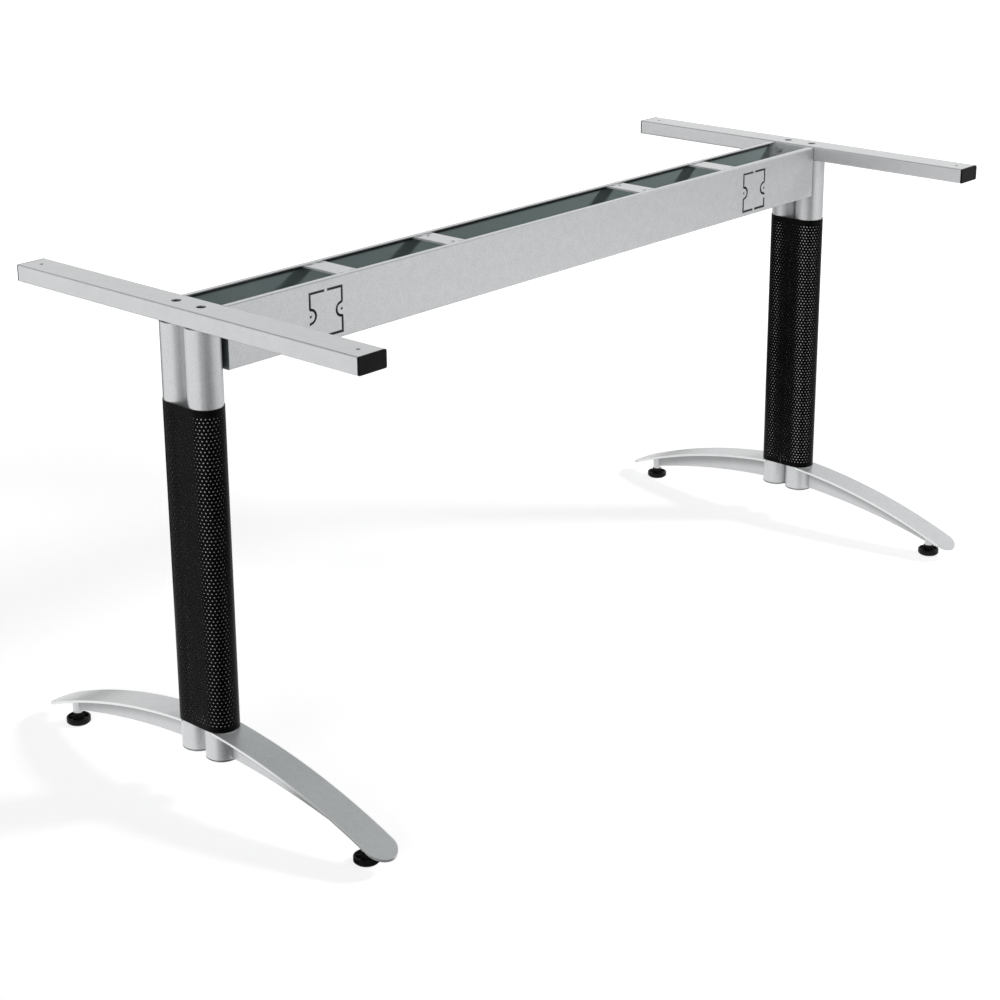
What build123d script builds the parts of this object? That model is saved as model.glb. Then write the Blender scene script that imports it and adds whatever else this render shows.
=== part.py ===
from build123d import *
import os
from math import sqrt

# Steel underframe of a desk: two legs, each of two round columns under a top arm and over a pair of
# arched feet, and a folded cable beam bolted between them. Millimetres, +Z up, floor at Z = 0,
# +X along the beam, the front at -Y, the origin on the floor below the middle of the frame.

# Whole frame
FRAME_HEIGHT = 725.0        # floor to the top of the arms
LEG_SPACING = 1450.0        # between the middle planes of the two legs

# Top arms: rectangular tube, closed by plastic caps
ARM_SPAN = 700.0            # over the two caps
ARM_WIDTH = 50.0
ARM_HEIGHT = 25.0
ARM_WALL = 2.0
ARM_CORNER = 2.5
ARM_INNER_CORNER = 1.0
CAP_FLANGE = 3.0
CAP_SPIGOT = 12.0
CAP_WALL = 2.0
CAP_EDGE = 1.0
CAP_CLEARANCE = 0.1

# Columns: two round tubes to a leg, closed below by a pressed plug
COLUMN_DIAMETER = 50.0
COLUMN_WALL = 2.0
COLUMN_GAP = 1.0            # between the two tubes of a leg
COLUMN_BOTTOM = 60.0        # underside of the plug's flange
PLUG_FLANGE = 3.0
PLUG_EDGE = 1.5
PLUG_SEAM = 0.8             # broken upper edge of the flange, seen as a seam under the tube
PLUG_SPIGOT = 12.0
PLUG_WALL = 2.0
PLUG_CLEARANCE = 0.1
INSERT_THICKNESS = 12.0     # threaded disc in the head of a column

# Perforated sleeve round the two columns
SLEEVE_BOTTOM = 107.0
SLEEVE_FROM_TOP = 138.0     # its upper rim below the top of the arms
SLEEVE_SHEET = 0.8
SLEEVE_CLEARANCE = 0.2
SLEEVE_SEAM = 0.8           # butt joint of the rolled sheet, on the beam's side

# Arched feet: rolled plate on an upright web, with a threaded socket near the tip
FOOT_REACH = 364.0          # leg's middle to the tip of the plate
FOOT_WIDTH = 50.0
FOOT_PLATE = 4.0
FOOT_DROP = 2.0             # top of the plate below the sleeve, at the column
FOOT_TIP_TOP = 24.0         # top of the plate above the floor, at the tip
FOOT_RADIUS = 1050.0        # of the arch, on its upper face
FOOT_HORN = 8.0             # the plate's inner ends beyond the column's axis
FOOT_EDGE = 0.6             # broken edge along the plate's upper face
FOOT_COPE = 0.5             # open joint between the plate and the column
WELD_GAP = 0.1
WEB_THICKNESS = 5.0
WEB_ROOT = 64.0             # lower edge of the web above the floor, at the column
WEB_END = 3.0               # and above the socket's lower end, at the socket
WEB_RADIUS = 1300.0         # of the web's lower edge

# Levelling glides: moulded pad on a threaded stud, screwed into the socket
GLIDE_FROM_TIP = 50.0       # glide's axis from the tip of the plate
SOCKET_DIAMETER = 15.0
SOCKET_BOTTOM = 18.0
STUD_DIAMETER = 10.0
STUD_TIP_GAP = 1.5          # stud's upper end below the plate, when screwed right in
STUD_SEAT = 5.0             # foot of the stud above the floor
STUD_CHAMFER = 1.0
THREAD_CLEARANCE = 0.1
SOCKET_CLEARANCE = 0.3
PAD_DIAMETER = 37.0
PAD_HEIGHT = 10.0
PAD_EDGE = 1.0
PAD_FOOT_EDGE = 2.5         # wider bevel round the underside
PAD_RIM = 3.0               # width of the raised rim on the pad's upper side
PAD_RECESS = 4.0            # depth inside the rim
PAD_RIBS = 6
PAD_RIB = 1.8               # thickness of a rib from the collar to the rim
PAD_RIB_DROP = 1.2          # ribs below the rim
COLLAR_FLATS = 15.0         # hexagon of the pad's collar
COLLAR_GAP = 0.3            # collar to socket when screwed right in

# Cable beam: folded sheet, open above between two lips
BEAM_WIDTH = 94.0
BEAM_HEIGHT = 90.0
BEAM_DROP = 1.0             # lips below the top of the arms
BEAM_SHEET = 1.5
BEAM_BEND = 0.8             # inside radius of the folds
BEAM_LIP = 10.0
END_PLATE = 3.0

# Straps across the mouth of the beam, welded under the lips
STRAP_WIDTH = 38.0
STRAP_THICKNESS = 3.0
STRAP_SETBACK = 1.5         # strap's end to the wall of the beam
INNER_STRAP = 232.0         # strap's middle from the frame's middle
OUTER_STRAP = 460.0
STRAP_HOLE = 6.0
STRAP_HOLE_SPACING = 52.0

# Knock-outs for outlets in the beam's front wall: a slit outline held by narrow bridges
KNOCKOUT_WIDTH = 66.0
KNOCKOUT_HEIGHT = 70.0
KNOCKOUT_FROM_END = 182.0   # knock-out's middle from the end of the beam
KNOCKOUT_FROM_TOP = 48.0    # and from the top of the beam
KNOCKOUT_SLIT = 4.0
KNOCKOUT_BRIDGE = 5.0
KNOCKOUT_SIDE_BRIDGE = 15.0  # side bridge below the knock-out's middle
KNOCKOUT_SCREWS = 60.0      # spacing of the outlet's two screw holes
KNOCKOUT_SCREW_HOLE = 4.0
KNOCKOUT_LOBE = 8.0         # radius of the tongue round a screw hole
KNOCKOUT_BLEND = 4.0

# Fastenings
TOP_SCREW_HOLE = 6.0        # holes for the table top's screws, through the arm's upper wall
TOP_SCREW_ACCESS = 12.0     # and below each, room for the screw's head
TOP_SCREW_FROM_END = 26.0
ARM_BOLT_DIAMETER = 8.0
ARM_BOLT_HEAD = 13.0
ARM_BOLT_HEAD_HEIGHT = 8.0
ARM_BOLT_KEY = 6.0
ARM_BOLT_KEY_DEPTH = 4.0
ARM_BOLT_LENGTH = 12.0
ARM_BOLT_ACCESS = 14.0      # hole in the arm's upper wall over each bolt
BEAM_BOLT_DIAMETER = 6.0
BEAM_BOLT_HEAD = 12.0
BEAM_BOLT_HEAD_HEIGHT = 4.5
BEAM_BOLT_CROWN = 1.5
BEAM_BOLT_KEY = 4.0
BEAM_BOLT_KEY_DEPTH = 2.5
BEAM_BOLT_LENGTH = 16.0
BEAM_BOLT_DROP = 55.0       # lower pair of bolts below the upper pair
WASHER_DIAMETER = 14.0
WASHER_THICKNESS = 1.2
RIVET_NUT_FLANGE = 13.0
RIVET_NUT_FLANGE_THICKNESS = 1.5
RIVET_NUT_BODY = 9.0
RIVET_NUT_LENGTH = 13.0
BOLT_CLEARANCE = 0.4

# Places that follow from the sizes above
SIDES = {"left": -1, "right": 1}
ENDS = {"front": -1, "rear": 1}
leg_x = LEG_SPACING / 2
arm_tube = ARM_SPAN - 2 * CAP_FLANGE
arm_bottom = FRAME_HEIGHT - ARM_HEIGHT
arm_middle = FRAME_HEIGHT - ARM_HEIGHT / 2
column_radius = COLUMN_DIAMETER / 2
column_bore = column_radius - COLUMN_WALL
column_y = (COLUMN_DIAMETER + COLUMN_GAP) / 2
tube_bottom = COLUMN_BOTTOM + PLUG_FLANGE
bolt_heights = (arm_middle, arm_middle - BEAM_BOLT_DROP)
leg_face = leg_x - max(ARM_WIDTH, COLUMN_DIAMETER) / 2
beam_end = leg_face - RIVET_NUT_FLANGE_THICKNESS
beam_top = FRAME_HEIGHT - BEAM_DROP
beam_bottom = beam_top - BEAM_HEIGHT
beam_inner_width = BEAM_WIDTH - 2 * BEAM_SHEET
lip_underside = beam_top - BEAM_SHEET
plate_inside = beam_end - END_PLATE

os.makedirs("parts", exist_ok=True)


def across_leg(side, end):
    """Upright plane through a leg's middle: local x runs out along the foot, local y is up."""
    return Plane((side * leg_x, 0, 0), x_dir=(0, end, 0), z_dir=(end, 0, 0))


def facing_leg(side, x):
    """Plane across the beam at x, seen from the frame's middle, with its normal towards the leg."""
    return Plane((side * x, 0, 0), x_dir=(0, side, 0), z_dir=(side, 0, 0))


# Top arms. The upper wall has a screw hole near each end and an access hole over each column,
# the lower wall the matching holes for screw heads and bolts, the inner wall two rivet nut holes.
for side_name, side in SIDES.items():
    with BuildPart() as arm:
        arm_plane = Plane((side * leg_x, arm_tube / 2, arm_middle), x_dir=(1, 0, 0), z_dir=(0, -1, 0))
        with BuildSketch(arm_plane):
            RectangleRounded(ARM_WIDTH, ARM_HEIGHT, ARM_CORNER)
            RectangleRounded(
                ARM_WIDTH - 2 * ARM_WALL, ARM_HEIGHT - 2 * ARM_WALL, ARM_INNER_CORNER, mode=Mode.SUBTRACT
            )
        extrude(amount=arm_tube)
        screw_y = ARM_SPAN / 2 - TOP_SCREW_FROM_END
        with BuildSketch(Plane((side * leg_x, 0, FRAME_HEIGHT))):
            with GridLocations(0, 2 * screw_y, 1, 2):
                Circle(TOP_SCREW_HOLE / 2)
            with GridLocations(0, 2 * column_y, 1, 2):
                Circle(ARM_BOLT_ACCESS / 2)
        extrude(amount=-ARM_HEIGHT / 2, mode=Mode.SUBTRACT)
        with BuildSketch(Plane((side * leg_x, 0, arm_bottom))):
            with GridLocations(0, 2 * screw_y, 1, 2):
                Circle(TOP_SCREW_ACCESS / 2)
            with GridLocations(0, 2 * column_y, 1, 2):
                Circle((ARM_BOLT_DIAMETER + BOLT_CLEARANCE) / 2)
        extrude(amount=ARM_HEIGHT / 2, mode=Mode.SUBTRACT)
        with BuildSketch(facing_leg(side, leg_x - ARM_WIDTH / 2)):
            with Locations((-column_y, arm_middle), (column_y, arm_middle)):
                Circle((RIVET_NUT_BODY + BOLT_CLEARANCE) / 2)
        extrude(amount=ARM_WIDTH / 2, mode=Mode.SUBTRACT)
    arm.part.label = f"{side_name}_top_arm"
    export_step(arm.part, f"parts/{arm.part.label}.step")

    # Caps: a rounded flange outside, a hollow spigot pushed into the tube
    for end_name, end in ENDS.items():
        mouth = Plane((side * leg_x, end * arm_tube / 2, arm_middle), x_dir=(1, 0, 0), z_dir=(0, end, 0))
        spigot_width = ARM_WIDTH - 2 * (ARM_WALL + CAP_CLEARANCE)
        spigot_height = ARM_HEIGHT - 2 * (ARM_WALL + CAP_CLEARANCE)
        with BuildPart() as cap:
            with BuildSketch(mouth):
                RectangleRounded(ARM_WIDTH, ARM_HEIGHT, ARM_CORNER)
            extrude(amount=CAP_FLANGE)
            outer_face = cap.faces().sort_by(Axis.Y)[-1 if end > 0 else 0]
            chamfer(outer_face.edges(), CAP_EDGE)
            with BuildSketch(mouth):
                RectangleRounded(spigot_width, spigot_height, ARM_INNER_CORNER)
                Rectangle(spigot_width - 2 * CAP_WALL, spigot_height - 2 * CAP_WALL, mode=Mode.SUBTRACT)
            extrude(amount=-CAP_SPIGOT)
        cap.part.label = f"{side_name}_{end_name}_arm_cap"
        export_step(cap.part, f"parts/{cap.part.label}.step")

# Columns, the threaded discs in their heads and the plugs in their feet
for side_name, side in SIDES.items():
    for end_name, end in ENDS.items():
        column_axis = (side * leg_x, end * column_y)
        with BuildPart() as column:
            with BuildSketch(Plane((*column_axis, tube_bottom))):
                Circle(column_radius)
                Circle(column_bore, mode=Mode.SUBTRACT)
            extrude(amount=arm_bottom - tube_bottom)
            with BuildSketch(facing_leg(side, leg_x - column_radius)):
                with Locations((side * end * column_y, bolt_heights[1])):
                    Circle((RIVET_NUT_BODY + BOLT_CLEARANCE) / 2)
            extrude(amount=column_radius, mode=Mode.SUBTRACT)
        column.part.label = f"{side_name}_{end_name}_column"
        export_step(column.part, f"parts/{column.part.label}.step")

        with BuildPart() as insert:
            with BuildSketch(Plane((*column_axis, arm_bottom))):
                Circle(column_bore - PLUG_CLEARANCE)
                Circle(ARM_BOLT_DIAMETER / 2 + THREAD_CLEARANCE, mode=Mode.SUBTRACT)
            extrude(amount=-INSERT_THICKNESS)
        insert.part.label = f"{side_name}_{end_name}_column_insert"
        export_step(insert.part, f"parts/{insert.part.label}.step")

        with BuildPart() as plug:
            with BuildSketch(Plane((*column_axis, COLUMN_BOTTOM))):
                Circle(column_radius)
            extrude(amount=PLUG_FLANGE)
            chamfer(plug.edges().group_by(Axis.Z)[0], PLUG_EDGE)
            chamfer(plug.edges().group_by(Axis.Z)[-1], PLUG_SEAM)
            with BuildSketch(Plane((*column_axis, tube_bottom))):
                Circle(column_bore - PLUG_CLEARANCE)
                Circle(column_bore - PLUG_CLEARANCE - PLUG_WALL, mode=Mode.SUBTRACT)
            extrude(amount=PLUG_SPIGOT)
        plug.part.label = f"{side_name}_{end_name}_column_plug"
        export_step(plug.part, f"parts/{plug.part.label}.step")

    # Socket-head bolts inside the arm, through its lower wall into the columns
    with BuildPart() as arm_bolts:
        bolt_seat = Plane((side * leg_x, 0, arm_bottom + ARM_WALL))
        with BuildSketch(bolt_seat):
            with GridLocations(0, 2 * column_y, 1, 2):
                Circle(ARM_BOLT_HEAD / 2)
        extrude(amount=ARM_BOLT_HEAD_HEIGHT)
        with BuildSketch(bolt_seat):
            with GridLocations(0, 2 * column_y, 1, 2):
                Circle(ARM_BOLT_DIAMETER / 2)
        extrude(amount=-ARM_BOLT_LENGTH)
        with BuildSketch(bolt_seat.offset(ARM_BOLT_HEAD_HEIGHT)):
            with GridLocations(0, 2 * column_y, 1, 2):
                RegularPolygon(ARM_BOLT_KEY / 2, 6, major_radius=False)
        extrude(amount=-ARM_BOLT_KEY_DEPTH, mode=Mode.SUBTRACT)
    arm_bolts.part.label = f"{side_name}_arm_bolts"
    export_step(arm_bolts.part, f"parts/{arm_bolts.part.label}.step")

    # Sleeve: sheet rolled to a stadium round both columns, its butt seam towards the beam
    with BuildPart() as sleeve:
        sleeve_bore = COLUMN_DIAMETER + 2 * SLEEVE_CLEARANCE
        sleeve_depth = sleeve_bore + 2 * SLEEVE_SHEET
        with BuildSketch(Plane((side * leg_x, 0, SLEEVE_BOTTOM))):
            SlotCenterToCenter(2 * column_y, sleeve_depth, rotation=90)
            SlotCenterToCenter(2 * column_y, sleeve_bore, rotation=90, mode=Mode.SUBTRACT)
            with Locations((-side * sleeve_depth / 2, 0)):
                Rectangle(sleeve_depth / 2, SLEEVE_SEAM, mode=Mode.SUBTRACT)
        extrude(amount=FRAME_HEIGHT - SLEEVE_FROM_TOP - SLEEVE_BOTTOM)
    sleeve.part.label = f"{side_name}_sleeve"
    export_step(sleeve.part, f"parts/{sleeve.part.label}.step")

# Arch of the feet: a circle through the plate's top at the column's face and at its tip
column_face = column_y + column_radius
foot_top = SLEEVE_BOTTOM - FOOT_DROP
chord_run = FOOT_REACH - column_face
chord_fall = foot_top - FOOT_TIP_TOP
chord = sqrt(chord_run**2 + chord_fall**2)
chord_to_centre = sqrt(FOOT_RADIUS**2 - chord**2 / 4)
arch_centre_run = (column_face + FOOT_REACH) / 2 - chord_to_centre * chord_fall / chord
arch_centre_height = (foot_top + FOOT_TIP_TOP) / 2 - chord_to_centre * chord_run / chord


def arch_point(run, depth):
    """Point of the arch at a distance from the leg's middle, a depth below the plate's upper face."""
    radius = FOOT_RADIUS - depth
    return (run, arch_centre_height + sqrt(radius**2 - (run - arch_centre_run) ** 2))


def arch_arc(run_from, run_to, depth):
    """Stretch of the arch between two distances from the leg's middle."""
    middle = (run_from + run_to) / 2
    return ThreePointArc(arch_point(run_from, depth), arch_point(middle, depth), arch_point(run_to, depth))


plate_from = column_y + FOOT_HORN
plate_to = FOOT_REACH + FOOT_PLATE
glide_reach = FOOT_REACH - GLIDE_FROM_TIP
web_from = column_y
web_to = glide_reach
web_end = SOCKET_BOTTOM + WEB_END
stud_top = arch_point(glide_reach + STUD_DIAMETER / 2, FOOT_PLATE)[1] - STUD_TIP_GAP

for side_name, side in SIDES.items():
    for end_name, end in ENDS.items():
        upright = across_leg(side, end)
        column_axis = (side * leg_x, end * column_y)
        glide_axis = (side * leg_x, end * glide_reach)

        # Plate: rolled to the arch, rounded at the tip, cut out round the column
        with BuildPart() as plate:
            with BuildSketch(upright):
                with BuildLine():
                    top = arch_arc(plate_from, plate_to, 0)
                    bottom = arch_arc(plate_from, plate_to, FOOT_PLATE)
                    Line(top @ 0, bottom @ 0)
                    Line(top @ 1, bottom @ 1)
                make_face()
            extrude(amount=FOOT_WIDTH, both=True)
            with BuildSketch(Plane.XY):
                with Locations((side * leg_x, end * (FOOT_REACH - FOOT_WIDTH) / 2)):
                    SlotCenterToCenter(FOOT_REACH, FOOT_WIDTH, rotation=90)
            extrude(amount=FRAME_HEIGHT, mode=Mode.INTERSECT)
            upper_face = plate.faces().sort_by(SortBy.AREA)[-1]
            outline = upper_face.edges().sort_by(lambda edge: abs(edge.center().Y))[1:]
            chamfer(outline, FOOT_EDGE)
            with BuildSketch(Plane.XY):
                with Locations(column_axis):
                    Circle(column_radius + FOOT_COPE)
            extrude(amount=FRAME_HEIGHT, mode=Mode.SUBTRACT)
        plate.part.label = f"{side_name}_{end_name}_foot_plate"
        export_step(plate.part, f"parts/{plate.part.label}.step")

        # Web: under the plate, coped to the column and to the socket
        with BuildPart() as web:
            with BuildSketch(upright):
                with BuildLine():
                    web_top = arch_arc(web_from, web_to, FOOT_PLATE)
                    web_bottom = RadiusArc((column_face, WEB_ROOT), (web_to, web_end), WEB_RADIUS)
                    Polyline(web_bottom @ 0, (web_from, WEB_ROOT), web_top @ 0)
                    Line(web_top @ 1, web_bottom @ 1)
                make_face()
            extrude(amount=WEB_THICKNESS / 2, both=True)
            with BuildSketch(Plane.XY):
                with Locations(column_axis):
                    Circle(column_radius + WELD_GAP)
                with Locations(glide_axis):
                    Circle(SOCKET_DIAMETER / 2 + WELD_GAP)
            extrude(amount=FRAME_HEIGHT, mode=Mode.SUBTRACT)
        web.part.label = f"{side_name}_{end_name}_foot_web"
        export_step(web.part, f"parts/{web.part.label}.step")

        # Socket: threaded tube, mitred to the underside of the plate
        with BuildPart() as socket:
            with BuildSketch(Plane((*glide_axis, SOCKET_BOTTOM))):
                Circle(SOCKET_DIAMETER / 2)
                Circle(STUD_DIAMETER / 2 + SOCKET_CLEARANCE, mode=Mode.SUBTRACT)
            extrude(amount=foot_top - SOCKET_BOTTOM)
            with BuildSketch(upright):
                with BuildLine():
                    under = arch_arc(column_face, FOOT_REACH, FOOT_PLATE)
                    Polyline(under @ 0, (column_face, FRAME_HEIGHT), (FOOT_REACH, FRAME_HEIGHT), under @ 1)
                make_face()
            extrude(amount=FOOT_WIDTH, both=True, mode=Mode.SUBTRACT)
        socket.part.label = f"{side_name}_{end_name}_glide_socket"
        export_step(socket.part, f"parts/{socket.part.label}.step")

        # Glide pad: moulded foot with a raised rim, ribs in the recess and a bored hexagon collar
        with BuildPart() as pad:
            with BuildSketch(Plane((*glide_axis, 0))):
                Circle(PAD_DIAMETER / 2)
            extrude(amount=PAD_HEIGHT)
            chamfer(pad.edges().group_by(Axis.Z)[0], PAD_FOOT_EDGE)
            chamfer(pad.edges().group_by(Axis.Z)[-1], PAD_EDGE)
            recess_radius = PAD_DIAMETER / 2 - PAD_RIM
            recess_floor = PAD_HEIGHT - PAD_RECESS
            with BuildSketch(Plane((*glide_axis, recess_floor))):
                Circle(recess_radius)
            extrude(amount=PAD_RECESS, mode=Mode.SUBTRACT)
            with BuildSketch(Plane((*glide_axis, recess_floor))):
                with PolarLocations(recess_radius / 2, PAD_RIBS):
                    Rectangle(recess_radius + PAD_RIB, PAD_RIB)
            extrude(amount=PAD_RECESS - PAD_RIB_DROP)
            with BuildSketch(Plane((*glide_axis, recess_floor))):
                RegularPolygon(COLLAR_FLATS / 2, 6, major_radius=False)
            extrude(amount=SOCKET_BOTTOM - COLLAR_GAP - recess_floor)
            with BuildSketch(Plane((*glide_axis, STUD_SEAT))):
                Circle(STUD_DIAMETER / 2 + THREAD_CLEARANCE)
            extrude(amount=SOCKET_BOTTOM, mode=Mode.SUBTRACT)
        pad.part.label = f"{side_name}_{end_name}_glide_pad"
        export_step(pad.part, f"parts/{pad.part.label}.step")

        # Stud: seated in the pad, its tip chamfered
        with BuildPart() as stud:
            with BuildSketch(Plane((*glide_axis, STUD_SEAT))):
                Circle(STUD_DIAMETER / 2)
            extrude(amount=stud_top - STUD_SEAT)
            chamfer(stud.edges().group_by(Axis.Z)[-1], STUD_CHAMFER)
        stud.part.label = f"{side_name}_{end_name}_glide_stud"
        export_step(stud.part, f"parts/{stud.part.label}.step")

# Beam: one sheet folded to a channel with inward lips, with two knock-outs in the front wall
with BuildPart() as beam:
    half_width = BEAM_WIDTH / 2
    with BuildSketch(Plane.YZ.offset(-beam_end)):
        with BuildLine():
            outside = FilletPolyline(
                (half_width - BEAM_LIP, beam_top),
                (half_width, beam_top),
                (half_width, beam_bottom),
                (-half_width, beam_bottom),
                (-half_width, beam_top),
                (BEAM_LIP - half_width, beam_top),
                radius=BEAM_BEND + BEAM_SHEET,
            )
            offset(outside, amount=BEAM_SHEET, side=Side.RIGHT)
        make_face()
    extrude(amount=2 * beam_end)
    front_wall = Plane((0, -half_width, beam_top - KNOCKOUT_FROM_TOP), x_dir=(1, 0, 0), z_dir=(0, -1, 0))
    knockout_x = beam_end - KNOCKOUT_FROM_END
    for side in SIDES.values():
        with BuildSketch(front_wall) as slits:
            with Locations((side * knockout_x, 0)):
                Rectangle(KNOCKOUT_WIDTH, KNOCKOUT_HEIGHT)
                with GridLocations(KNOCKOUT_SCREWS, 0, 2, 1):
                    Circle(KNOCKOUT_LOBE, mode=Mode.SUBTRACT)
            notches = slits.vertices().group_by(Axis.Y)[1:-1]
            fillet([corner for level in notches for corner in level], KNOCKOUT_BLEND)
            offset(amount=-KNOCKOUT_SLIT, mode=Mode.SUBTRACT)
            with Locations((side * knockout_x, 0)):
                Rectangle(KNOCKOUT_BRIDGE, KNOCKOUT_HEIGHT, mode=Mode.SUBTRACT)
                with GridLocations(KNOCKOUT_SCREWS, 0, 2, 1):
                    Circle(KNOCKOUT_SCREW_HOLE / 2)
            with Locations((side * (knockout_x + KNOCKOUT_WIDTH / 2), -KNOCKOUT_SIDE_BRIDGE)):
                Rectangle(KNOCKOUT_LOBE, KNOCKOUT_BRIDGE, mode=Mode.SUBTRACT)
        extrude(amount=-half_width, mode=Mode.SUBTRACT)
beam.part.label = "beam_channel"
export_step(beam.part, f"parts/{beam.part.label}.step")

# End plates closing the beam, and what bolts them to the legs
for side_name, side in SIDES.items():
    bolt_places = [(end * column_y, height) for end in ENDS.values() for height in bolt_heights]

    with BuildPart() as end_plate:
        with BuildSketch(facing_leg(side, plate_inside)):
            with Locations((0, (beam_bottom + BEAM_SHEET + lip_underside) / 2)):
                RectangleRounded(beam_inner_width, BEAM_HEIGHT - 2 * BEAM_SHEET, BEAM_BEND)
            with Locations(*bolt_places):
                Circle((BEAM_BOLT_DIAMETER + BOLT_CLEARANCE) / 2, mode=Mode.SUBTRACT)
        extrude(amount=END_PLATE)
    end_plate.part.label = f"{side_name}_end_plate"
    export_step(end_plate.part, f"parts/{end_plate.part.label}.step")

    with BuildPart() as washers:
        with BuildSketch(facing_leg(side, plate_inside)):
            with Locations(*bolt_places):
                Circle(WASHER_DIAMETER / 2)
                Circle((BEAM_BOLT_DIAMETER + BOLT_CLEARANCE) / 2, mode=Mode.SUBTRACT)
        extrude(amount=-WASHER_THICKNESS)
    washers.part.label = f"{side_name}_beam_washers"
    export_step(washers.part, f"parts/{washers.part.label}.step")

    with BuildPart() as beam_bolts:
        head_plane = facing_leg(side, plate_inside - WASHER_THICKNESS)
        with BuildSketch(head_plane):
            with Locations(*bolt_places):
                Circle(BEAM_BOLT_HEAD / 2)
        extrude(amount=-BEAM_BOLT_HEAD_HEIGHT)
        crowns = beam_bolts.edges().group_by(Axis.X)[0 if side > 0 else -1]
        chamfer(crowns, BEAM_BOLT_CROWN)
        with BuildSketch(head_plane.offset(-BEAM_BOLT_HEAD_HEIGHT)):
            with Locations(*bolt_places):
                RegularPolygon(BEAM_BOLT_KEY / 2, 6, major_radius=False)
        extrude(amount=BEAM_BOLT_KEY_DEPTH, mode=Mode.SUBTRACT)
        with BuildSketch(head_plane):
            with Locations(*bolt_places):
                Circle(BEAM_BOLT_DIAMETER / 2)
        extrude(amount=BEAM_BOLT_LENGTH)
    beam_bolts.part.label = f"{side_name}_beam_bolts"
    export_step(beam_bolts.part, f"parts/{beam_bolts.part.label}.step")

    with BuildPart() as rivet_nuts:
        with BuildSketch(facing_leg(side, beam_end)):
            with Locations(*bolt_places):
                Circle(RIVET_NUT_FLANGE / 2)
        extrude(amount=RIVET_NUT_FLANGE_THICKNESS)
        with BuildSketch(facing_leg(side, leg_face)):
            with Locations(*bolt_places):
                Circle(RIVET_NUT_BODY / 2)
        extrude(amount=RIVET_NUT_LENGTH)
        with BuildSketch(facing_leg(side, beam_end)):
            with Locations(*bolt_places):
                Circle(BEAM_BOLT_DIAMETER / 2 + THREAD_CLEARANCE)
        extrude(amount=RIVET_NUT_FLANGE_THICKNESS + RIVET_NUT_LENGTH, mode=Mode.SUBTRACT)
    rivet_nuts.part.label = f"{side_name}_rivet_nuts"
    export_step(rivet_nuts.part, f"parts/{rivet_nuts.part.label}.step")

    # Straps: flat bars under the lips; the inner pair has screw holes for the table top
    for place, strap_x in {"inner": INNER_STRAP, "outer": OUTER_STRAP}.items():
        with BuildPart() as strap:
            with BuildSketch(Plane((side * strap_x, 0, lip_underside))):
                Rectangle(STRAP_WIDTH, beam_inner_width - 2 * STRAP_SETBACK)
                if place == "inner":
                    with GridLocations(0, STRAP_HOLE_SPACING, 1, 2):
                        Circle(STRAP_HOLE / 2, mode=Mode.SUBTRACT)
            extrude(amount=-STRAP_THICKNESS)
        strap.part.label = f"{side_name}_{place}_strap"
        export_step(strap.part, f"parts/{strap.part.label}.step")
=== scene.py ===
import math

import bmesh
import bpy
from mathutils import Euler, Matrix, Vector


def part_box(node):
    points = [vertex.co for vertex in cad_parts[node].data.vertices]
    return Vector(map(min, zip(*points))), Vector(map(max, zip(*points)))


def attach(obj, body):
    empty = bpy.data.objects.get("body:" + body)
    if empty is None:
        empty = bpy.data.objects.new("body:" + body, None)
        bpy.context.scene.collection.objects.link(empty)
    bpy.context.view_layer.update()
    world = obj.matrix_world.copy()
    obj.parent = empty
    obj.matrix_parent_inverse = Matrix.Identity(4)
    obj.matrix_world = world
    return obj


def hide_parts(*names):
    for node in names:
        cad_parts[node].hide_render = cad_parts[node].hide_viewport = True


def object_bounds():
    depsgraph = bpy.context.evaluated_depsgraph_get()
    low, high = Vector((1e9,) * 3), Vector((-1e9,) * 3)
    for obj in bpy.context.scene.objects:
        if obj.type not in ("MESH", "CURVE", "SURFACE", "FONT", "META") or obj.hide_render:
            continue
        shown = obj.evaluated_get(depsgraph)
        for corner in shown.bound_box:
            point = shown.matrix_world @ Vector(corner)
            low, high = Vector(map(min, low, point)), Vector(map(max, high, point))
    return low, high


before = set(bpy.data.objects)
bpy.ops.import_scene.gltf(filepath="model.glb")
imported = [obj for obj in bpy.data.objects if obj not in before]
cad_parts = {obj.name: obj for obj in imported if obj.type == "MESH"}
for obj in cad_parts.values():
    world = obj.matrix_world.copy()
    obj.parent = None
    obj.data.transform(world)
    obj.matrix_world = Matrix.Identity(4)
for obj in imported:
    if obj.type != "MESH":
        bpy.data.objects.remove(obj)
cad_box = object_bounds()


# Columns: two round steel tubes to a leg, welded up and coated with silver powder paint. A pressed
# plug closes each tube below, and a turned steel disc with a thread takes the arm's bolt above.
SIDES = ("left", "right")
CORNERS = [f"{side}_{end}" for side in SIDES for end in ("front", "rear")]


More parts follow.
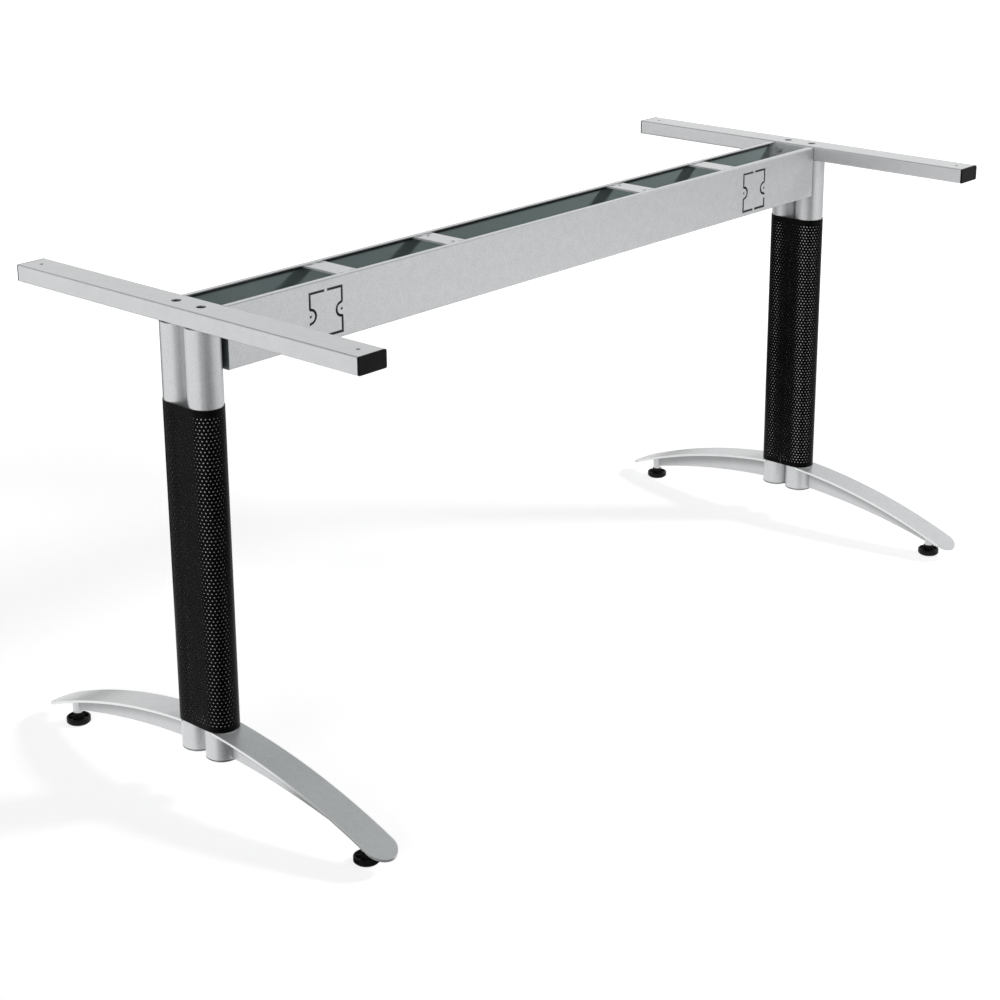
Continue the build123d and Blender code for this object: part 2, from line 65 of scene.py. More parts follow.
class Shade:
    """A socket of a material's nodes. Arithmetic on it adds Math nodes, and node() adds any other kind."""

    def __init__(self, socket):
        self.socket = socket

    def node(self, kind, settings=None, inputs=None, output=0):
        made = self.socket.id_data.nodes.new(kind)
        for key, value in (settings or {}).items():
            setattr(made, key, value)
        for key, value in (inputs or {}).items():
            if isinstance(value, Shade):
                made.id_data.links.new(value.socket, made.inputs[key])
            else:
                made.inputs[key].default_value = value
        return Shade(made.outputs[output]) if made.outputs else None

    def math(self, operation, *others):
        return self.node("ShaderNodeMath", {"operation": operation}, dict(enumerate((self, *others))))

    def __add__(self, other):
        return self.math("ADD", other)

    def __radd__(self, other):
        return self + other

    def __sub__(self, other):
        return self.math("SUBTRACT", other)

    def __rsub__(self, other):
        return self.node("ShaderNodeMath", {"operation": "SUBTRACT"}, {0: other, 1: self})

    def __mul__(self, other):
        return self.math("MULTIPLY", other)

    def __rmul__(self, other):
        return self * other

    def __abs__(self):
        return self.math("ABSOLUTE")

    def larger(self, other):
        return self.math("MAXIMUM", other)

    def fade(self, low, high):
        """1 where the value is at low, 0 where it is at high, smooth between."""
        return self.node("ShaderNodeMapRange", {"interpolation_type": "SMOOTHSTEP"},
                         {"Value": self, "From Min": low, "From Max": high, "To Min": 1.0, "To Max": 0.0})

    def part(self, axis):
        """The X, Y or Z of a place."""
        return self.node("ShaderNodeSeparateXYZ", inputs={"Vector": self}, output=axis)

    def noise(self, scale, detail=2.0):
        return self.node("ShaderNodeTexNoise", inputs={"Vector": self, "Scale": scale, "Detail": detail})

    def ramp(self, *stops):
        """The colour for a value, blended between stops of value and colour."""
        blend = self.node("ShaderNodeValToRGB", inputs={"Fac": self})
        elements = blend.socket.node.color_ramp.elements
        while len(elements) < len(stops):
            elements.new(1.0)
        for element, (position, colour) in zip(elements, stops):
            element.position = position
            element.color = (*colour, 1.0)
        return blend

    def turned_to(self, colour, share):
        """This colour where share is 0, the other one where it is 1."""
        other = colour if isinstance(colour, Shade) else (*colour, 1.0)
        return self.node("ShaderNodeMix", {"data_type": "RGBA"},
                         {"Factor": share, 6: self, 7: other}, "Result")


def finish_of(name, surface):
    """A material whose surface(place) is given Object coordinates and returns its shader."""
    material = bpy.data.materials.new(name)
    material.use_nodes = True
    nodes = material.node_tree.nodes
    nodes.clear()
    place = Shade(nodes.new("ShaderNodeTexCoord").outputs["Object"])
    place.node("ShaderNodeOutputMaterial", inputs={"Surface": surface(place)})
    return material


def dress(material, nodes):
    """Gives CAD nodes their finish."""
    for name in nodes:
        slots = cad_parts[name].data.materials
        slots.clear()
        slots.append(material)


SILVER_DARK = (0.53, 0.54, 0.55)
SILVER_LIGHT = (0.83, 0.84, 0.85)
# Painted shade for joints, gaps and nicks.
JOINT_SHADE = (0.03, 0.035, 0.035)
FLAKE_CONTRAST = 0.9
FLAKE_RELIEF = 0.6
FLAKE_GLITTER = 0.12
DENT_DEPTH = 3.0


def silver_paint(name, cloud=0.2, metal=0.55, dents=None, marks=None, marked_metal=None):
    """Silver powder coat: fine metal flake in a slightly cloudy film. dents(place) is 1 in pressed spots.
    marks(place) gives a share and the colour painted there, as painted shade or a painted highlight."""
    def surface(place):
        flake = place.noise(800.0, 3.0)
        film = place.noise(70.0, 4.0)
        tone = 0.5 + (flake - 0.5) * FLAKE_CONTRAST + (film - 0.5) * cloud
        colour = tone.ramp((0.2, SILVER_DARK), (0.8, SILVER_LIGHT))
        height = flake * FLAKE_RELIEF + film
        if dents:
            height = height - dents(place) * DENT_DEPTH
        sheen = metal
        if marks:
            share, mark = marks(place)
            colour = colour.turned_to(mark, share)
            if marked_metal is not None:
                sheen = metal - (metal - marked_metal) * share
        relief = place.node("ShaderNodeBump", inputs={"Strength": 0.25, "Distance": 0.0003, "Height": height})
        return place.node("ShaderNodeBsdfPrincipled", inputs={
            "Base Color": colour, "Metallic": sheen, "Roughness": 0.4 + (flake - 0.5) * FLAKE_GLITTER,
            "Normal": relief, "Coat Weight": 1.0, "Coat Roughness": 0.2,
        })
    return finish_of(name, surface)


ZINC_DARK = (0.52, 0.54, 0.57)
ZINC_LIGHT = (0.74, 0.75, 0.75)
ZINC_STAIN = 0.12


def zinc_plate(name, ring):
    """Zinc plating: pale bluish metal over faint turning marks, ring of them to a metre."""
    def surface(place):
        stain = place.noise(160.0, 3.0)
        turning = place.node("ShaderNodeTexWave", {"wave_type": "RINGS", "rings_direction": "SPHERICAL"},
                             {"Vector": place, "Scale": ring, "Distortion": 4.0, "Detail": 2.0}, "Fac")
        relief = place.node("ShaderNodeBump", inputs={"Strength": 0.1, "Distance": 0.0001, "Height": turning})
        return place.node("ShaderNodeBsdfPrincipled", inputs={
            "Base Color": stain.ramp((0.3, ZINC_DARK), (0.7, ZINC_LIGHT)), "Metallic": 0.75,
            "Roughness": 0.26 + stain * ZINC_STAIN, "Normal": relief,
        })
    return finish_of(name, surface)


# Painted shade: dark lines where the plug and the arm meet the tubes.
SEAM_WIDTH = 0.0012
SEAM_SHADE = 0.8
arm_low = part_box("left_top_arm")[0]
tube_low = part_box("left_front_column")[0]


def column_joint_shade(place):
    """Painted shade: a dark line at the butt joint with the plug below, and one at the tube's top under the
    arm.
    """
    height = place.part("Z")
    plug = abs(height - tube_low.z).fade(SEAM_WIDTH * 0.4, SEAM_WIDTH)
    # Painted shade where the tube meets the arm.
    weld = abs(height - arm_low.z).fade(SEAM_WIDTH * 0.6, SEAM_WIDTH * 1.6)
    return plug.larger(weld) * SEAM_SHADE, JOINT_SHADE


column_paint = silver_paint("column_paint", cloud=0.12, metal=0.78, marks=column_joint_shade)
dress(column_paint, [f"{corner}_{piece}" for corner in CORNERS for piece in ("column", "column_plug")])
turned_zinc = zinc_plate("turned_zinc", ring=900.0)
dress(turned_zinc, [f"{corner}_column_insert" for corner in CORNERS])


# Top arms: rectangular tube in the same silver paint, drilled for the table top's screws and for the key
# that tightens the arm's own bolts. Moulded black caps with a fine spark-eroded grain close the ends.
PLASTIC_DARK = (0.006, 0.006, 0.007)
PLASTIC_LIGHT = (0.014, 0.014, 0.015)
GRAIN_GLOSS = 0.2


def black_moulding(name, roughness):
    """Black moulded plastic with a fine grain."""
    def surface(place):
        grain = place.noise(2200.0)
        flow = place.noise(90.0)
        relief = place.node("ShaderNodeBump", inputs={"Strength": 0.3, "Distance": 0.0002, "Height": grain})
        return place.node("ShaderNodeBsdfPrincipled", inputs={
            "Base Color": flow.ramp((0.3, PLASTIC_DARK), (0.75, PLASTIC_LIGHT)),
            "Roughness": roughness + (grain - 0.5) * GRAIN_GLOSS,
            "Specular IOR Level": 0.09, "Normal": relief,
        })
    return finish_of(name, surface)


dress(silver_paint("arm_paint", metal=0.7), [f"{side}_top_arm" for side in SIDES])
dress(black_moulding("cap_plastic", roughness=0.42), [f"{corner}_arm_cap" for corner in CORNERS])
dress(turned_zinc, [f"{side}_arm_bolts" for side in SIDES])


# Feet: a flat bar rolled to an arch and welded to the column, stiffened by a web underneath.
# A short threaded tube under the tip takes the levelling glide. All painted silver after welding.
ARCH_RADIUS = 1.046
ARCH_CENTRE_BEHIND = 0.0523
ARCH_CENTRE_BELOW = 0.9399
# Painted shade on the web under the overhanging plate.
UNDER_PLATE_LINE = (0.0005, 0.003)
UNDER_PLATE_LINE_SHADE = 0.8
UNDER_PLATE_BAND = (0.009, 0.027)
UNDER_PLATE_BAND_SHADE = 0.5
# Painted highlight for the plate's edges.
EDGE_HIGHLIGHT = (0.95, 0.96, 0.96)
EDGE_HIGHLIGHT_BAND = (0.0012, 0.0004)


def web_shade(place):
    """Painted shade on the web: a dark line just under the plate, and a softer darker band below it where the
    plate shades it.
    """
    outward = abs(place.part("Y")) + ARCH_CENTRE_BEHIND
    upward = place.part("Z") + ARCH_CENTRE_BELOW
    squared = outward * outward + upward * upward
    radius = squared.math("SQRT")
    # Both are painted shade under the plate: the narrow line and the wider band.
    weld, corner = (radius.fade(*[ARCH_RADIUS - depth for depth in band]) for band in (UNDER_PLATE_LINE, UNDER_PLATE_BAND))
    return (weld * UNDER_PLATE_LINE_SHADE).larger(corner * UNDER_PLATE_BAND_SHADE), JOINT_SHADE


plate_low, plate_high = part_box("right_front_foot_plate")


def plate_edge_highlight(place):
    """A painted highlight along the plate's long edges."""
    centre, half = (plate_low.x + plate_high.x) / 2, (plate_high.x - plate_low.x) / 2
    from_middle = abs(abs(place.part("X")) - centre)
    return 1.0 - from_middle.fade(*[half - depth for depth in EDGE_HIGHLIGHT_BAND]), EDGE_HIGHLIGHT


dress(silver_paint("plate_paint", marks=plate_edge_highlight), [f"{corner}_foot_plate" for corner in CORNERS])
dress(silver_paint("socket_paint"), [f"{corner}_glide_socket" for corner in CORNERS])
dress(silver_paint("web_paint", marks=web_shade), [f"{corner}_foot_web" for corner in CORNERS])


# Levelling glides: a black moulded pad on a zinc-plated stud. The stud has a rolled thread,
# which shows when the glide is screwed out to level the desk.
dress(black_moulding("glide_plastic", roughness=0.3), [f"{corner}_glide_pad" for corner in CORNERS])

THREAD_PITCH = 0.0015
THREAD_DEPTH = 0.0009
THREAD_STEPS = 20
SPARE_TURNS = 2
THREAD_PROFILE = ((THREAD_DEPTH, 0), (0, 0.45), (0, 0.55), (THREAD_DEPTH, 1))
stud_zinc = zinc_plate("stud_zinc", ring=700.0)


def all_of(mesh):
    return mesh.verts[:] + mesh.edges[:] + mesh.faces[:]


for corner in CORNERS:
    low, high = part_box(f"{corner}_glide_stud")
    crest = (high.x - low.x) / 2
    turns = math.ceil((high.z - low.z) / THREAD_PITCH) + SPARE_TURNS
    start = Vector(((low.x + high.x) / 2, (low.y + high.y) / 2, low.z - THREAD_PITCH))
    thread = bmesh.new()
    flank = [thread.verts.new(start + Vector((crest - depth, 0, rise * THREAD_PITCH)))
             for depth, rise in THREAD_PROFILE]
    edges = [thread.edges.new(pair) for pair in zip(flank, flank[1:])]
    bmesh.ops.spin(thread, geom=flank + edges, cent=start, axis=(0, 0, 1), angle=turns * math.tau,
                   steps=turns * THREAD_STEPS, dvec=(0, 0, THREAD_PITCH / THREAD_STEPS))
    bmesh.ops.remove_doubles(thread, verts=thread.verts[:], dist=THREAD_PITCH / 50)
    for cut, facing in ((low.z, -1), (high.z, 1)):
        bmesh.ops.bisect_plane(thread, geom=all_of(thread), plane_co=(0, 0, cut), plane_no=(0, 0, facing),
                               clear_outer=True)
    bmesh.ops.holes_fill(thread, edges=[edge for edge in thread.edges if edge.is_boundary])
    bmesh.ops.recalc_face_normals(thread, faces=thread.faces[:])
    data = bpy.data.meshes.new(f"{corner}_threaded_stud")
    thread.to_mesh(data)
    thread.free()
    data.materials.append(stud_zinc)
    stud = bpy.data.objects.new(data.name, data)
    bpy.context.scene.collection.objects.link(stud)
    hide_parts(f"{corner}_glide_stud")
    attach(stud, f"{corner}_glide")


# Sleeves: perforated sheet, rolled to a flat-sided tube round both columns, its butt seam towards the beam,
# coated satin black. The holes are staggered at sixty degrees; plain margins run along the rims and the seam.
HOLE_PITCH = 0.006
HOLE_DIAMETER = 0.0025
HOLE_CORNERS = 8
HOLES_IN_ROW = 43
HOLE_ROWS = 89
ROW_PITCH = HOLE_PITCH * math.sqrt(3) / 2
TOP_MARGIN = 0.0099
SEAM_GAP = 0.0008
SHEET = 0.0008
SAME_PLACE = HOLE_PITCH / 100
SHARP_FOLD = math.radians(40)
COAT_DARK = (0.0015, 0.0015, 0.0015)
COAT_DUSTY = (0.004, 0.0037, 0.0035)
COAT_GLOSS = 0.15


def black_coat(place):
    """Satin black powder coat, a little worn and dusty."""
    grain = place.noise(1800.0)
    dust = place.noise(35.0, 4.0)
    relief = place.node("ShaderNodeBump", inputs={"Strength": 0.2, "Distance": 0.0002, "Height": grain})
    return place.node("ShaderNodeBsdfPrincipled", inputs={
        "Base Color": dust.ramp((0.3, COAT_DARK), (0.75, COAT_DUSTY)),
        "Roughness": 0.32 + (grain - 0.5) * COAT_GLOSS, "Specular IOR Level": 0.05, "Normal": relief,
    })


def corners_in(made):
    """The vertices among what a mesh operator made."""
    return [item for item in made["geom"] if isinstance(item, bmesh.types.BMVert)]


def edges_at(mesh, axis, level):
    """The edges that lie at a level of X (0) or Y (1)."""
    return [edge for edge in mesh.edges if all(abs(v.co[axis] - level) < SAME_PLACE for v in edge.verts)]


# One cell: a rectangle with a hole in its middle.
sheet = bmesh.new()
bmesh.ops.create_grid(sheet, x_segments=2, y_segments=1, size=0.5)
bmesh.ops.scale(sheet, verts=sheet.verts[:], vec=(HOLE_PITCH, ROW_PITCH, 1))
bmesh.ops.delete(sheet, geom=sheet.faces[:], context="FACES_ONLY")
bmesh.ops.delete(sheet, geom=edges_at(sheet, 0, 0.0), context="EDGES")
bmesh.ops.create_circle(sheet, segments=HOLE_CORNERS, radius=HOLE_DIAMETER / 2,
                        matrix=Matrix.Rotation(math.pi / HOLE_CORNERS, 4, "Z"))
bmesh.ops.bridge_loops(sheet, edges=sheet.edges[:])

# One row of cells, with half a cell of plain sheet after the last hole.
cell = all_of(sheet)
for step in range(1, HOLES_IN_ROW):
    made = bmesh.ops.duplicate(sheet, geom=cell)
    bmesh.ops.translate(sheet, verts=corners_in(made), vec=(step * HOLE_PITCH, 0, 0))
bmesh.ops.translate(sheet, verts=sheet.verts[:], vec=(HOLE_PITCH / 2, ROW_PITCH / 2, 0))
bmesh.ops.remove_doubles(sheet, verts=sheet.verts[:], dist=SAME_PLACE)
made = bmesh.ops.extrude_edge_only(sheet, edges=edges_at(sheet, 0, HOLES_IN_ROW * HOLE_PITCH))
bmesh.ops.translate(sheet, verts=corners_in(made), vec=(HOLE_PITCH / 2, 0, 0))
row_length = (HOLES_IN_ROW + 0.5) * HOLE_PITCH

# All rows, every second one turned round so that its holes stand between those of the next.
row = all_of(sheet)
for step in range(1, HOLE_ROWS):
    verts = corners_in(bmesh.ops.duplicate(sheet, geom=row))
    if step % 2:
        bmesh.ops.scale(sheet, verts=verts, vec=(-1, 1, 1))
        bmesh.ops.translate(sheet, verts=verts, vec=(row_length, 0, 0))
    bmesh.ops.translate(sheet, verts=verts, vec=(0, step * ROW_PITCH, 0))
bmesh.ops.remove_doubles(sheet, verts=sheet.verts[:], dist=SAME_PLACE)

# The plain margins, up to the height and the length round the sleeve.
low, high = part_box("left_sleeve")
bend = (high.x - low.x) / 2
straight = (high.y - low.y) / 2 - bend
half_round = 2 * straight + math.pi * bend
holed_height = HOLE_ROWS * ROW_PITCH
bottom_margin = high.z - low.z - TOP_MARGIN - holed_height
seam_margin = (2 * half_round - SEAM_GAP - row_length) / 2
for axis, level, grow in ((1, 0.0, (0, -bottom_margin, 0)), (1, holed_height, (0, TOP_MARGIN, 0)),
                          (0, 0.0, (-seam_margin, 0, 0)), (0, row_length, (seam_margin, 0, 0))):
    made = bmesh.ops.extrude_edge_only(sheet, edges=edges_at(sheet, axis, level))
    bmesh.ops.translate(sheet, verts=corners_in(made), vec=grow)
sheet.normal_update()
bmesh.ops.reverse_faces(sheet, faces=[face for face in sheet.faces if face.normal.z < 0])


def rolled(run):
    """Where a run along the sheet from the seam ends on the sleeve's outside, seen from above."""
    if run > half_round:
        return -rolled(run - half_round)
    if run <= straight:
        return Vector((bend, run))
    angle = (run - straight) / bend
    if angle <= math.pi:
        return Vector((bend * math.cos(angle), straight + bend * math.sin(angle)))
    return Vector((-bend, half_round - run))


for vert in sheet.verts:
    spot = rolled(vert.co.x + seam_margin + SEAM_GAP / 2)
    vert.co = (spot.x, spot.y, low.z + bottom_margin + vert.co.y)
sheet.normal_update()
bmesh.ops.solidify(sheet, geom=sheet.faces[:], thickness=SHEET)
sheet.normal_update()
for face in sheet.faces:
    face.smooth = True
for edge in sheet.edges:
    edge.smooth = edge.calc_face_angle(0.0) < SHARP_FOLD

sleeve_coat = finish_of("sleeve_coat", black_coat)
for side in SIDES:
    low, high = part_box(f"{side}_sleeve")
    copy = sheet.copy()
    if side == "right":
        bmesh.ops.scale(copy, verts=copy.verts[:], vec=(-1, 1, 1))
        bmesh.ops.reverse_faces(copy, faces=copy.faces[:])
    bmesh.ops.translate(copy, verts=copy.verts[:], vec=((low.x + high.x) / 2, (low.y + high.y) / 2, 0))
    data = bpy.data.meshes.new(f"{side}_perforated_sleeve")
    copy.to_mesh(data)
    copy.free()
    data.materials.append(sleeve_coat)
    sleeve = bpy.data.objects.new(data.name, data)
    bpy.context.scene.collection.objects.link(sleeve)
    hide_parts(f"{side}_sleeve")
    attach(sleeve, "frame")
sheet.free()


# Cable beam: one folded sheet with lips, closed by end plates, with flat straps spot-welded under the lips.
# The electrodes leave shallow dimples on the lips. The two nicks at each strap end are painted dark as shade,
# and the channel's inside is painted dark and dull as shade.
BEAM_SHEET = 0.0015
WELD_SPACING = 0.02
WELD_RADIUS = 0.0022
WELD_FROM_EDGE = 0.006
LIP_FACE = (0.0002, 0.002)
NICK_LENGTH = 0.011
NICK_WIDTH = 0.005
NICK_FROM_MIDDLE = 0.0335
# Painted shade: the channel's inside, the strap nicks and the end plates' outer faces are painted dark.
SHADE_STRENGTH = 0.9
INSIDE_SHADED = (0.23, 0.3, 0.295)
INSIDE_DEEP_SHADE = (0.01, 0.015, 0.015)
INSIDE_METAL = 0.1
LIP_SHADOW = (0.007, 0.0095)
CHANNEL_DEPTH = (0.05, 0.036)
DEPTH_SHADE = 0.9
# Painted shade on the end plates' outer faces.
END_FACE_SHADE = (0.1, 0.13, 0.13)
beam_low, beam_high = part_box("beam_channel")
strap_boxes = [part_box(f"right_{strap}_strap") for strap in ("inner", "outer")]
strap_middles = [(low.x + high.x) / 2 for low, high in strap_boxes]


def from_weld(place):
    """The distance along the beam to the nearest weld."""
    inner, outer = (abs(abs(abs(place.part("X")) - middle) - WELD_SPACING / 2) for middle in strap_middles)
    return inner.math("MINIMUM", outer)


def weld_dimples(place):
    """1 in the middle of each weld on the lips, fading to 0 at its rim."""
    along = from_weld(place)
    across = abs(abs(place.part("Y")) - (beam_high.y - WELD_FROM_EDGE))
    upper = place.part("Z").fade(*[beam_high.z - depth for depth in LIP_FACE])
    squared = along * along + across * across
    return squared.math("SQRT").fade(WELD_RADIUS * 0.5, WELD_RADIUS) * upper


def channel_inside_shade(place):
    """The channel's inside, painted dark and dull as shade, with a painted shadow under the lips and darker
    towards the bottom.
    """
    height = place.part("Z")
    between = abs(place.part("Y")).fade(beam_high.y - BEAM_SHEET * 0.8, beam_high.y - BEAM_SHEET * 0.3)
    below = height.fade(beam_high.z - BEAM_SHEET * 1.6, beam_high.z - BEAM_SHEET * 1.1)
    above = 1.0 - height.fade(beam_low.z + BEAM_SHEET * 0.3, beam_low.z + BEAM_SHEET * 0.8)
    corner, deep = (height.fade(beam_high.z - top, beam_high.z - bottom)
                    for top, bottom in (LIP_SHADOW, CHANNEL_DEPTH))
    steel = corner.larger(deep * DEPTH_SHADE).ramp((0.0, INSIDE_SHADED), (1.0, INSIDE_DEEP_SHADE))
    return between * below * above * SHADE_STRENGTH, steel


def strap_nick_shade(place):
    """Painted shade for the two nicks at each end of a strap, at the lip's edge."""
    across = abs(abs(place.part("Y")) - NICK_FROM_MIDDLE).fade(NICK_WIDTH * 0.3, NICK_WIDTH * 0.7)
    return from_weld(place).fade(NICK_LENGTH * 0.4, NICK_LENGTH * 0.6) * across * SHADE_STRENGTH, JOINT_SHADE


def end_face_shade(place):
    """Painted shade on an end plate's outer face, towards the leg."""
    inside = abs(place.part("X")).fade(beam_high.x - BEAM_SHEET * 0.4, beam_high.x - BEAM_SHEET * 0.1)
    return (1.0 - inside) * SHADE_STRENGTH, END_FACE_SHADE


beam_paint = silver_paint("beam_paint", metal=0.85, dents=weld_dimples, marks=channel_inside_shade,
                          marked_metal=INSIDE_METAL)
dress(beam_paint, ["beam_channel"])
dress(silver_paint("strap_paint", marks=strap_nick_shade),
      [f"{side}_{strap}_strap" for side in SIDES for strap in ("inner", "outer")])
dress(silver_paint("end_plate_paint", marks=end_face_shade), [f"{side}_end_plate" for side in SIDES])


# Beam fastenings: socket-head bolts on washers through the end plates, into rivet nuts set in the legs.
# All bright zinc-plated steel.
dress(zinc_plate("fastener_zinc", ring=1400.0),
      [f"{side}_{piece}" for side in SIDES for piece in ("beam_bolts", "beam_washers", "rivet_nuts")])


# Studio: a white floor running into a white surround that is dimmer overhead and behind the camera, with a
# bright panel high on the right. A key lamp stands in front on the right, soft light comes from the left.
# Cards lying on the floor, seen only in reflections, give the round tubes their dark sides.
WHITE = (1.0, 1.0, 1.0)
CAMERA_PLACE = Vector((-2.492, -2.145, 1.489))
FLOOR_SIZE = 30.0
FLOOR_DARK = (0.45, 0.45, 0.45)
FLOOR_LIGHT = (0.49, 0.49, 0.49)
SHADOW_DEPTH = 0.24
SHADOW_EDGE = (1.3, 2.4)
MIRRORED_RIGHT = 0.55
MIRRORED_FALL = (1.2, 3.2)


def shown_white(nodes):
    """1 for rays that show the surround to the camera, directly or in metal and glass."""
    path = nodes.new("ShaderNodeLightPath")
    kinds = ("Is Camera Ray", "Is Glossy Ray", "Is Transmission Ray")
    camera, glossy, through = (Shade(path.outputs[kind]) for kind in kinds)
    return camera.larger(glossy).larger(through)


def floor_surface(place):
    """White paper. It glows for the camera, a little less round the object so that the shadow stays,
    and shows in metal as lit paper that falls off to the right."""
    shown = shown_white(place.socket.id_data.nodes)
    paper = place.noise(40.0, 3.0).ramp((0.2, FLOOR_DARK), (0.8, FLOOR_LIGHT))
    matt = place.node("ShaderNodeBsdfDiffuse", inputs={"Color": paper})
    distance = place.node("ShaderNodeVectorMath", {"operation": "LENGTH"}, {0: place}, "Value")
    bright = shown * (1.0 - distance.fade(*SHADOW_EDGE) * SHADOW_DEPTH)
    glow = place.node("ShaderNodeEmission", inputs={"Strength": bright})
    lit = place.node("ShaderNodeAddShader", inputs={0: matt, 1: glow})
    gleam = MIRRORED_RIGHT + place.part("X").fade(*MIRRORED_FALL) * (1.0 - MIRRORED_RIGHT)
    mirrored = place.node("ShaderNodeEmission", inputs={"Strength": gleam})
    glossy = place.node("ShaderNodeLightPath", output="Is Glossy Ray")
    return place.node("ShaderNodeMixShader", inputs={0: glossy, 1: lit, 2: mirrored})


plane = bmesh.new()
bmesh.ops.create_grid(plane, x_segments=1, y_segments=1, size=FLOOR_SIZE / 2)
bmesh.ops.translate(plane, verts=plane.verts[:], vec=(0, 0, cad_box[0].z))
data = bpy.data.meshes.new("studio_floor")
plane.to_mesh(data)
plane.free()
data.materials.append(finish_of("studio_floor", floor_surface))
studio_floor = bpy.data.objects.new(data.name, data)
bpy.context.scene.collection.objects.link(studio_floor)

CEILING = ((0.16, WHITE), (0.29, (0.86, 0.86, 0.86)), (0.5, (0.82, 0.82, 0.82)), (0.59, (0.28, 0.31, 0.31)),
           (0.78, (0.16, 0.2, 0.2)), (1.0, (0.5, 0.5, 0.5)))
PANEL_TOWARD = Vector((0.826, 0.072, 0.559))
PANEL_RIM = (0.94, 0.985)
DIM_SIDE_TURN = 18
DIM_SIDE_RIM = (0.6, 0.96)
DIM_SIDE_LOSS = 0.8
SURROUND_FILL = 0.35
world = bpy.data.worlds.new("studio")
bpy.context.scene.world = world
world.use_nodes = True
nodes = world.node_tree.nodes
nodes.clear()
direction = Shade(nodes.new("ShaderNodeTexCoord").outputs["Generated"])


def toward(aim):
    """1 straight along aim, 0 across it."""
    return direction.node("ShaderNodeVectorMath", {"operation": "DOT_PRODUCT"},
                          {0: direction, 1: aim}, "Value")


to_camera = Vector((CAMERA_PLACE.x, CAMERA_PLACE.y, 0)).normalized()
behind_camera = Matrix.Rotation(math.radians(DIM_SIDE_TURN), 3, "Z") @ to_camera
open_side = 1.0 - (1.0 - toward(behind_camera).fade(*DIM_SIDE_RIM)) * DIM_SIDE_LOSS
seen = direction.node("ShaderNodeLightPath", output="Is Camera Ray")
walls = direction.part("Z").ramp(*CEILING)
walls = walls.turned_to(WHITE, 1.0 - toward(PANEL_TOWARD).fade(*PANEL_RIM))
walls = walls.turned_to(WHITE, seen)
shown = shown_white(nodes)
strength = seen + (1.0 - seen) * (shown + (1.0 - shown) * SURROUND_FILL) * open_side
surround = direction.node("ShaderNodeBackground", inputs={"Color": walls, "Strength": strength})
surround.node("ShaderNodeOutputWorld", inputs={"Surface": surround})

SOFTBOX_PLACE = Vector((2.6, -2.1, 2.5))
SOFTBOX_AIM = Vector((0, 0, 0.5))
softbox = bpy.data.lights.new("softbox", "AREA")
softbox.shape = "RECTANGLE"
softbox.size = 0.6
softbox.size_y = 0.5
softbox.energy = 90.0
lamp = bpy.data.objects.new("softbox", softbox)
bpy.context.scene.collection.objects.link(lamp)
lamp.location = SOFTBOX_PLACE
lamp.rotation_euler = (SOFTBOX_AIM - SOFTBOX_PLACE).to_track_quat("-Z", "Y").to_euler()
lamp.visible_glossy = False

WINDOW_TILT = 70
WINDOW_TURN = -75
window = bpy.data.lights.new("window", "SUN")
window.energy = 1.6
window.angle = math.radians(40)
lamp = bpy.data.objects.new("window", window)
bpy.context.scene.collection.objects.link(lamp)
lamp.rotation_euler = Euler((math.radians(WINDOW_TILT), 0, math.radians(WINDOW_TURN)), "XYZ")
lamp.visible_glossy = False

CARD_FAR = 3.0
CARD_NEAR_BEHIND = 0.7
CARD_RISE = 0.002
CARD_STEPS = 8
BLACK_DARK = (0.02, 0.02, 0.02)
BLACK_LIGHT = (0.03, 0.03, 0.03)
GREY_DARK = (0.29, 0.29, 0.29)
GREY_LIGHT = (0.31, 0.31, 0.31)


def black_felt(place):
    return place.node("ShaderNodeBsdfDiffuse", inputs={
        "Color": place.noise(30.0).ramp((0.3, BLACK_DARK), (0.7, BLACK_LIGHT))})


def lit_grey(place):
    return place.node("ShaderNodeEmission", inputs={
        "Color": place.noise(30.0).ramp((0.3, GREY_DARK), (0.7, GREY_LIGHT))})


card_black = finish_of("card_black", black_felt)
card_grey = finish_of("card_grey", lit_grey)
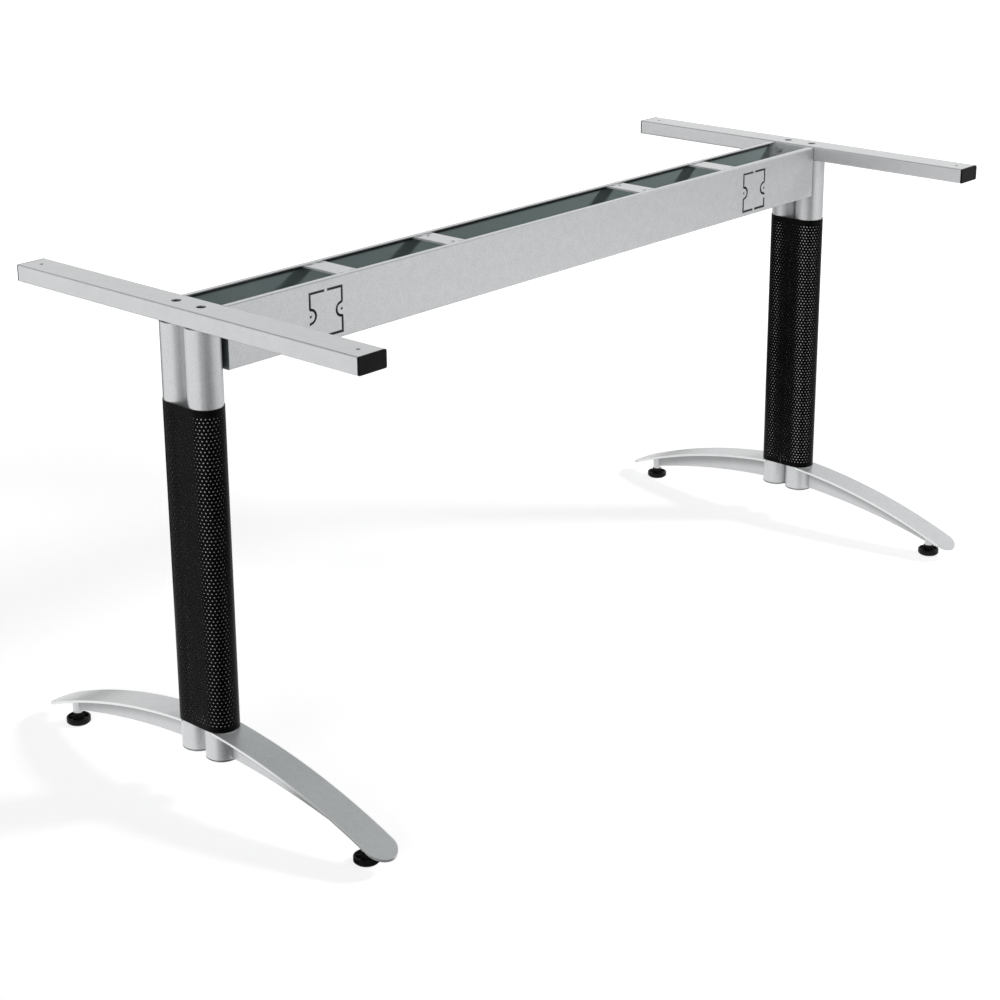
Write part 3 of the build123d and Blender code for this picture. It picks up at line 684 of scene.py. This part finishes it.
# A card is a fan round its leg: its two angles off the line to the camera, its inner radius and its finish.
CARD_FANS = (("left", -28.0, 3.0, 0.12, card_grey), ("left", 3.0, 44.0, 0.12, card_black),
             ("right", -2.5, 31.5, 0.3, card_black))
for side, turn, stop, near, shade in CARD_FANS:
    low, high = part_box(f"{side}_sleeve")
    leg = (low + high) / 2
    leg.z = cad_box[0].z + CARD_RISE
    view_line = CAMERA_PLACE - leg
    for behind, from_leg in ((0.0, near), (math.pi, CARD_NEAR_BEHIND)):
        start = math.atan2(view_line.y, view_line.x) + math.radians(turn) + behind
        out = Vector((math.cos(start), math.sin(start), 0))
        board = bmesh.new()
        ends = [board.verts.new(leg + out * reach) for reach in (from_leg, CARD_FAR)]
        bmesh.ops.spin(board, geom=ends + [board.edges.new(ends)], cent=leg, axis=(0, 0, 1),
                       angle=math.radians(stop - turn), steps=CARD_STEPS)
        data = bpy.data.meshes.new(f"{side}_floor_card")
        board.to_mesh(data)
        board.free()
        data.materials.append(shade)
        card = bpy.data.objects.new(data.name, data)
        bpy.context.scene.collection.objects.link(card)
        card.visible_camera = card.visible_diffuse = card.visible_shadow = card.visible_transmission = False


# Camera: a long lens from the front left, a little above the frame, with a small downward shift
# as in the photograph, whose uprights stand almost parallel.
CAMERA_YAW = 41.78
CAMERA_PITCH = -17.65
CAMERA_ROLL = 0.31
FOCAL_PIXELS = 2123.0
PHOTO_PIXELS = 1000.0
PRINCIPAL_Y = 380.0
lens = bpy.data.cameras.new("photo_camera")
lens.sensor_width = 36.0
lens.lens = lens.sensor_width * FOCAL_PIXELS / PHOTO_PIXELS
lens.shift_y = (PRINCIPAL_Y - PHOTO_PIXELS / 2) / PHOTO_PIXELS
lens.clip_end = 100.0
camera = bpy.data.objects.new("photo_camera", lens)
bpy.context.scene.collection.objects.link(camera)
camera.location = CAMERA_PLACE
tilt = (90 + CAMERA_PITCH, CAMERA_ROLL, CAMERA_YAW - 90)
camera.rotation_euler = Euler([math.radians(angle) for angle in tilt], "XYZ")
bpy.context.scene.camera = camera
bpy.context.scene.view_settings.view_transform = "Standard"
